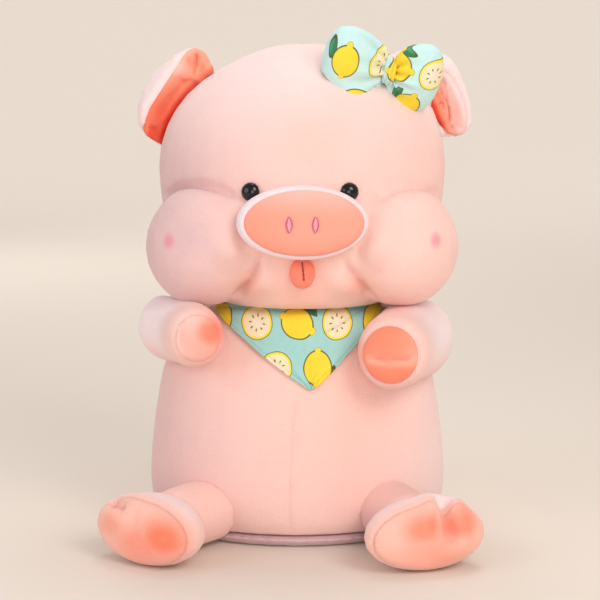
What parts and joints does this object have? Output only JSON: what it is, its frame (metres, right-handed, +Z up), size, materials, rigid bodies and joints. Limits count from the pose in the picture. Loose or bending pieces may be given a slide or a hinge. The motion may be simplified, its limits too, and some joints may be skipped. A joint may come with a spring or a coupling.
{
  "type": "plush pig",
  "caption": "Seated plush pig with puffy cheeks, coral snout, cloth bow and neck scarf; head turns, arms open, legs lift, ears fold.",
  "frame": {"origin": "middle of the flat face that the pig sits on, below the neck", "axes": "+Z up along the pig's height; the pig faces -Y; its own left side is +X"},
  "size_m": [0.3362, 0.3404, 0.4617],
  "materials": {
    "plush_pink": "pale pink short-pile plush",
    "plush_mauve": "slightly darker pink short-pile plush",
    "plush_coral": "coral short-pile plush",
    "snout_coral": "coral pink short-pile plush",
    "snout_pale": "very pale pink short-pile plush",
    "embroidery_pink": "pink satin-stitch embroidery",
    "stitch_red": "dark red sewn line",
    "eye_black": "gloss black",
    "washer_white": "plain white",
    "print_cloth": "aqua cotton with a yellow and green fruit print"
  },
  "bodies": {
    "torso": {"body": "plush_pink", "base_panel": "plush_mauve", "scarf_band": "print_cloth", "scarf_flap": "print_cloth"},
    "head": {"head": "plush_pink", "cheek_left": "plush_pink", "cheek_right": "plush_pink", "snout_band": "snout_pale", "snout_disc": "snout_coral", "nostril_left": "embroidery_pink", "nostril_right": "embroidery_pink", "eye_left": "eye_black", "eye_right": "eye_black", "eye_washer_left": "washer_white", "eye_washer_right": "washer_white", "bow_lobe_left": "print_cloth", "bow_lobe_right": "print_cloth", "bow_knot": "print_cloth"},
    "tongue": {"tongue": "plush_coral", "tongue_stitch": "stitch_red"},
    "ear_left": {"ear_left": "plush_pink", "ear_lining_left": "plush_coral"},
    "ear_right": {"ear_right": "plush_pink", "ear_lining_right": "plush_coral"},
    "arm_left": {"arm_left": "plush_pink", "paw_pad_left": "plush_coral"},
    "arm_right": {"arm_right": "plush_pink", "paw_pad_right": "plush_coral"},
    "leg_left": {"leg_left": "plush_pink", "foot_left": "plush_pink", "sole_left": "plush_coral"},
    "leg_right": {"leg_right": "plush_pink", "foot_right": "plush_pink", "sole_right": "plush_coral"},
    "tail": {"tail": "plush_pink"}
  },
  "joints": [
    {"name": "head_turn", "type": "hinge", "parent": "torso", "child": "head", "pos_m": [0, 0, 0.2132], "axis": [0, 0, 1], "range_deg": [-12, 12], "stiffness_Nm_per_rad": 0.6},
    {"name": "tongue_lift", "type": "hinge", "parent": "head", "child": "tongue", "pos_m": [0.0045, -0.11603, 0.26128], "axis": [-1, 0, 0], "range_deg": [0, 60]},
    {"name": "ear_left_fold", "type": "hinge", "parent": "head", "child": "ear_left", "pos_m": [0.11857, 0.0265, 0.39136], "axis": [-0.5878, 0, 0.809], "range_deg": [0, 30], "stiffness_Nm_per_rad": 0.08},
    {"name": "ear_right_fold", "type": "hinge", "parent": "head", "child": "ear_right", "pos_m": [-0.10957, 0.0265, 0.39136], "axis": [-0.5878, 0, -0.809], "range_deg": [0, 30], "stiffness_Nm_per_rad": 0.08},
    {"name": "arm_left_open", "type": "hinge", "parent": "torso", "child": "arm_left", "pos_m": [0.12834, 0.006, 0.17849], "axis": [0, 0, 1], "range_deg": [0, 35], "stiffness_Nm_per_rad": 0.25},
    {"name": "arm_right_open", "type": "hinge", "parent": "torso", "child": "arm_right", "pos_m": [-0.12834, 0.009, 0.18751], "axis": [0, 0, -1], "range_deg": [0, 35], "stiffness_Nm_per_rad": 0.25},
    {"name": "leg_left_lift", "type": "hinge", "parent": "torso", "child": "leg_left", "pos_m": [0.08461, -0.10215, 0.0605], "axis": [-0.9397, -0.342, 0], "range_deg": [0, 25]},
    {"name": "leg_right_lift", "type": "hinge", "parent": "torso", "child": "leg_right", "pos_m": [-0.08312, -0.09745, 0.0605], "axis": [-0.788, 0.6157, 0], "range_deg": [0, 25]},
    {"name": "tail_lift", "type": "hinge", "parent": "torso", "child": "tail", "pos_m": [0, 0.1095, 0.07899], "axis": [1, 0, 0], "range_deg": [0, 40], "stiffness_Nm_per_rad": 0.004}
  ]
}
